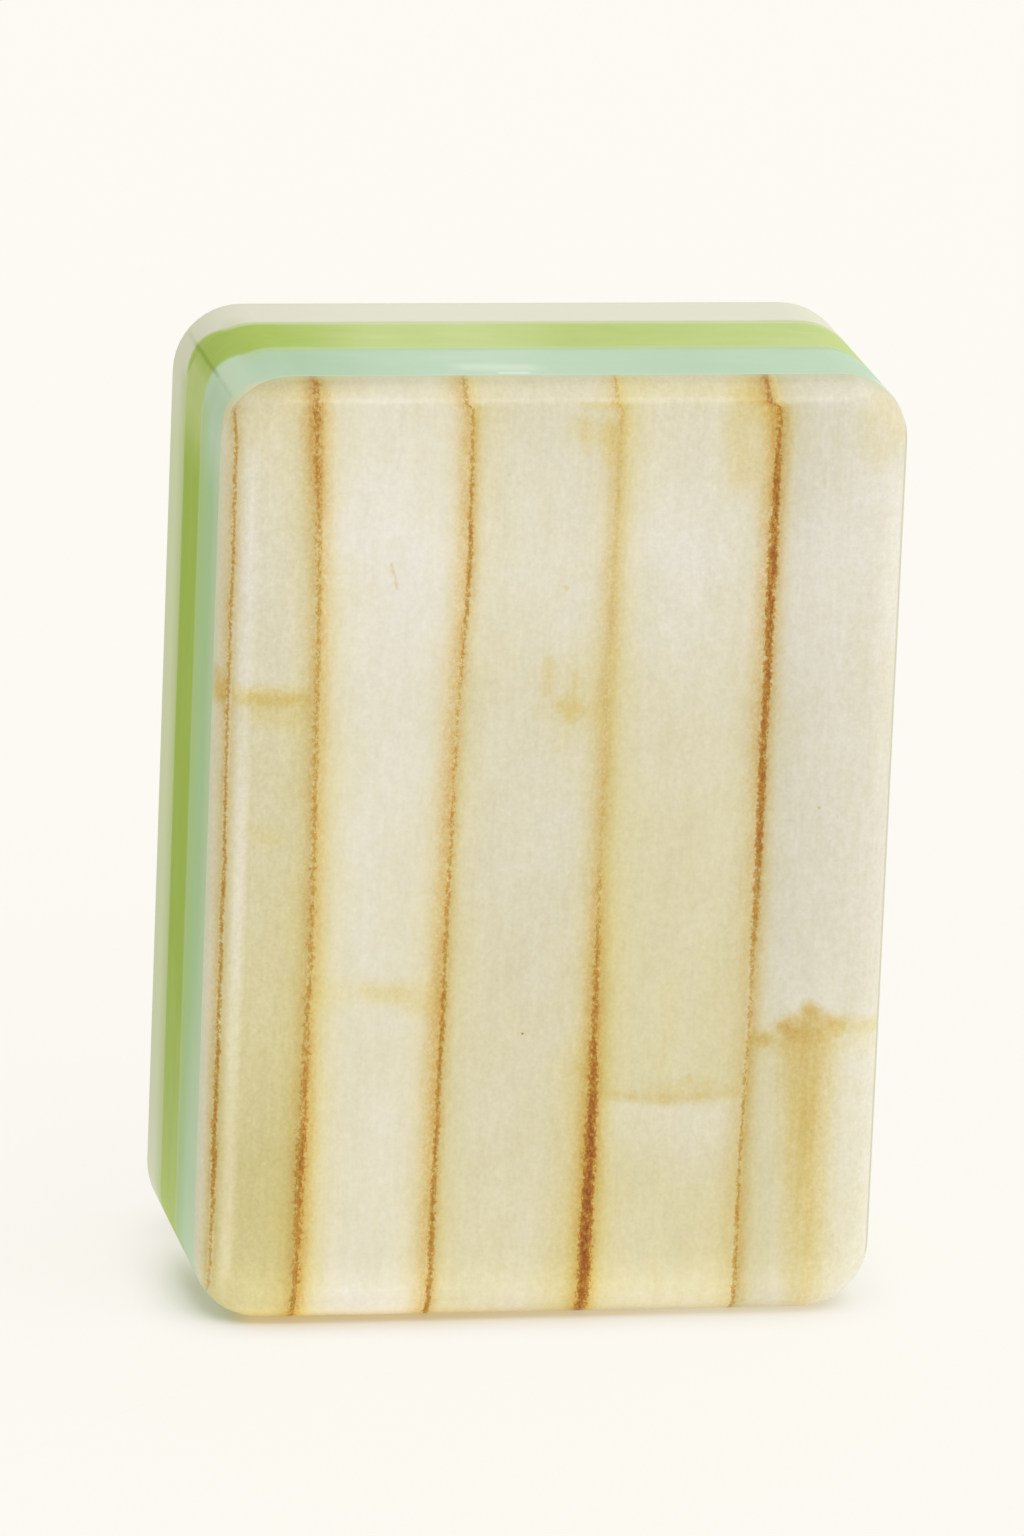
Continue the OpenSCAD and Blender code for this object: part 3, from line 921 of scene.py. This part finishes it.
# What the aqua layer takes from the slats and from the lime layer beside it
SLAT_SEAM_TONE = rgb(208, 216, 190)
LIME_NEAR = rgb(182, 202, 116)
# What creeps over the next layer at the head corner; the crease of painted shade there and the painted
# highlight beside it, whose tone also pales the left side; and the tone of the painted highlights on the
# head end
CREPT_SLAT = rgb(222, 212, 170)
CREPT_AQUA = rgb(192, 216, 180)
CREPT_LIME = rgb(174, 196, 100)
CREASE_SHADE_TONE = rgb(110, 136, 52)
HIGHLIGHT_AND_PALE_TONE = rgb(208, 227, 196)
HIGHLIGHT_TONE = rgb(240, 244, 230)
# How deep the resins are along the head end, at the shares of the width
FACE_DEPTHS = (0.5, 0.55, 0.1, 0, 0.05, 0, 0, 0)
LIME_DEPTHS = (0.9, 0.85, 0.12, 0.02, 0.4, 0.3, 0.12, 0)
AQUA_DEPTHS = (0.1, 1, 0.35, 0, 0.3, 0.45, 0.2, 0.05)
# Painted highlights on the aqua layer's head end: start and end in x and y, half width and strength
AQUA_HIGHLIGHTS = (
    ((-2.1, -5.1), (-1.3, -5.1), 0.22, 0.5),
    ((-3.0, -4.3), (-1.2, -4.4), 0.8, 0.3),
    ((10.0, -5.0), (10.3, -5.3), 0.25, 0.7),
)
# Each resin's tones and depths, its neighbours towards the back and the playing face, and its painted
# highlights
RESINS = {
    "aqua_resin": (
        (AQUA_TONE, AQUA_SHADED_SIDE, AQUA_HEAD),
        AQUA_DEPTHS,
        Neighbour(SLAT_SEAM_TONE, SLAT_Y, 0.12, 1.6, 0.4, CREPT_SLAT),
        Neighbour(LIME_NEAR, AQUA_Y, 0.6, 2.0, 0.5),
        AQUA_HIGHLIGHTS,
    ),
    "lime_resin": (
        (LIME_TONE, LIME_SHADE_AND_DEEP, LIME_SHADE_AND_DEEP),
        LIME_DEPTHS,
        Neighbour(AQUA_TONE, AQUA_Y, 0.35, 0.35, 0.5, CREPT_AQUA),
        Neighbour(FACE_TONE, LIME_Y, 0.35, 0.35, 0.5),
    ),
    "face_resin": (
        (FACE_TONE, FACE_SHADED_SIDE, FACE_HEAD),
        FACE_DEPTHS,
        Neighbour(LIME_SHADE_AND_DEEP, LIME_Y, 0.3, 1.5, 0.36, CREPT_LIME),
    ),
}

# How strong the texture of a slat or of the glue is, how far it has yellowed and how light it is, both
# by height, and what draws its nodes. How light it is takes in painted light at the foot and painted
# shade at the head end
GLUE_LOOK = (
    1,
    (0.9, 0.8, 0.8, 0.6, 0.5, 0.45, 0.4, 0.6, 0.7),
    (1.0, 0.97, 0.94, 0.93, 0.92, 0.93, 0.94, 0.95, 0.95),
)
BAMBOO = {
    "slat_beige": (
        1.4,
        (1.15, 1.4, 1.4, 0.95, 0.5, 0.55, 0.48, 0.75, 0.8),
        (1.35, 0.97, 0.93, 0.945, 0.92, 0.91, 0.915, 0.96, 0.9),
        slat_1_marks,
    ),
    "slat_white": (
        0.9,
        (0.2, 0.38, 0.4, 0.37, 0.27, 0.22, 0.0, 0.28, 0.4),
        (1.3, 1.0, 0.99, 0.975, 0.975, 0.965, 0.99, 0.985, 0.8),
        slat_2_marks,
    ),
    "slat_cream": (
        1.1,
        (0.8, 0.85, 0.68, 0.65, 0.38, 0.45, 0.3, 0.5, 0.6),
        (1.25, 0.98, 0.94, 0.925, 0.915, 0.93, 0.97, 0.925, 0.83),
        slat_3_marks,
    ),
    "slat_green": (
        1.1,
        (0.8, 1.0, 1.0, 0.95, 0.85, 0.6, 0.12, 0.45, 0.5),
        (1.35, 1.0, 0.95, 0.96, 0.95, 0.94, 0.955, 0.945, 0.82),
        slat_4_marks,
    ),
    "slat_lilac": (
        1.1,
        (0.3, 0.45, 0.4, 0.2, 0.18, 0.25, 0.0, 0.33, 0.5),
        (1.15, 0.98, 0.95, 0.92, 0.885, 0.905, 0.93, 0.895, 0.85),
        slat_5_marks,
    ),
    "glue_amber": GLUE_LOOK,
    "glue_brown": GLUE_LOOK,
}
# The seven paints of the medallion share three enamels: their tone, and where they are thin
PAINTS = {
    "paint_green": (rgb(16, 92, 52), rgb(48, 128, 82)),
    "paint_blue": (rgb(26, 44, 104), rgb(58, 82, 148)),
    "paint_red": (rgb(158, 26, 28), rgb(190, 60, 50)),
}


def make_materials():
    """One material for each of the record's slots."""
    made = {slot: bamboo_material(slot, *told) for slot, told in BAMBOO.items()}
    made.update({slot: resin_material(slot, *told) for slot, told in RESINS.items()})
    made.update({slot: paint_material(slot, *told) for slot, told in PAINTS.items()})
    return made


def dress_nodes(materials):
    """Gives each CAD node the material of its slot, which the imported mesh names."""
    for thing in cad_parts.values():
        for place, packed in enumerate(thing.data.materials):
            thing.data.materials[place] = materials[packed.name.split(".")[0]]


dress_nodes(make_materials())

# Floor, lights and world

# How far the floor reaches each way, in metres
FLOOR_REACH = 4
LIGHT_TONE = (1, 0.99, 0.97)
# The even studio light: how strong it is, where it leans to and by what share
STUDIO_STRENGTH = 0.7
STUDIO_TOWARDS = Vector((0.8, -0.3, 0.5))
STUDIO_LEAN = 0.3
# Each sun's azimuth from the back and elevation, its strength, and its width in degrees
SUNS = {
    "top": (55, 62, 0.75, 50),
    "key": (12, 36, 0.25, 18),
    "fill": (-33, 18, 0.07, 12),
}


def lay_floor():
    """A wide plain floor under the tile, which is no part of it."""
    mesh = bpy.data.meshes.new("floor")
    corners = [(x * FLOOR_REACH, y * FLOOR_REACH, 0) for x, y in ((-1, -1), (1, -1), (1, 1), (-1, 1))]
    mesh.from_pydata(corners, [], [(0, 1, 2, 3)])
    mesh.materials.append(floor_material())
    floor = bpy.data.objects.new("floor", mesh)
    bpy.context.scene.collection.objects.link(floor)


def hang_sun(name, azimuth, elevation, strength, angle):
    """A wide soft source far away, towards an azimuth from the back and an elevation, in degrees."""
    data = bpy.data.lights.new(name, "SUN")
    data.energy = strength
    data.angle = math.radians(angle)
    data.color = LIGHT_TONE
    light = bpy.data.objects.new(name, data)
    turn, rise = math.radians(azimuth), math.radians(elevation)
    towards = Vector((math.sin(turn) * math.cos(rise), -math.cos(turn) * math.cos(rise), math.sin(rise)))
    light.rotation_mode = "QUATERNION"
    light.rotation_quaternion = towards.to_track_quat("Z", "Y")
    bpy.context.scene.collection.objects.link(light)


def light_world():
    """An even studio, brighter by a share towards one direction and as much darker away from it."""
    world = bpy.data.worlds.new("studio")
    world.use_nodes = True
    graph = Graph(world.node_tree)
    looked_at = graph.node("ShaderNodeTexCoord").outputs["Generated"]
    share = graph.vector("DOT_PRODUCT", looked_at, STUDIO_TOWARDS.normalized())
    background = world.node_tree.nodes["Background"]
    background.inputs["Color"].default_value = (*LIGHT_TONE, 1)
    strength = graph.times(graph.add(1, graph.times(share, STUDIO_LEAN)), STUDIO_STRENGTH)
    graph.feed(background.inputs["Strength"], strength)
    bpy.context.scene.world = world


lay_floor()
light_world()
for name, told in SUNS.items():
    hang_sun(name, *told)
bpy.context.scene.view_settings.view_transform = "Standard"
